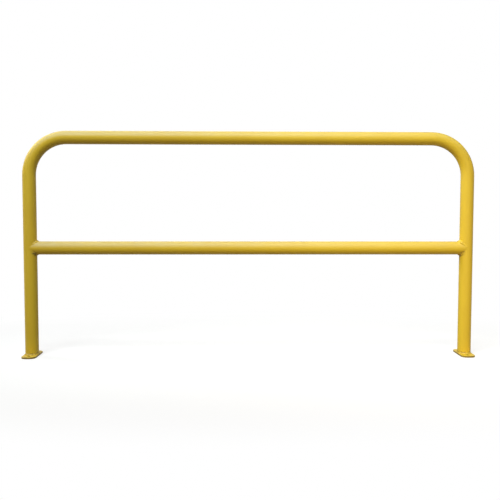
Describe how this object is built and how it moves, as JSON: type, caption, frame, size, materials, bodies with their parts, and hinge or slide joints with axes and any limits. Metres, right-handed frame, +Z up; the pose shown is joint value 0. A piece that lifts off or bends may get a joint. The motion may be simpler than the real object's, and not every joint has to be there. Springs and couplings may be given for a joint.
{
  "type": "tubular safety barrier",
  "caption": "Yellow tubular steel hoop barrier with a mid rail and bolt-down base plates, for guarding walkways and equipment.",
  "frame": {"origin": "floor level, centred between the two posts", "axes": "+X along the barrier, +Y across it away from the viewed side, +Z up"},
  "size_m": [2.064, 0.16, 1.0261],
  "materials": {
    "hoop_coat": "semi-gloss yellow powder coat",
    "rail_coat": "semi-gloss yellow powder coat",
    "plate_coat": "semi-gloss yellow powder coat",
    "weld_coat": "semi-gloss yellow powder coat over rippled weld"
  },
  "bodies": {
    "root": {"hoop_tube": "hoop_coat", "mid_rail": "rail_coat", "left_base_plate": "plate_coat", "right_base_plate": "plate_coat", "left_foot_weld": "weld_coat", "right_foot_weld": "weld_coat", "left_rail_weld": "weld_coat", "right_rail_weld": "weld_coat"}
  },
  "joints": []
}
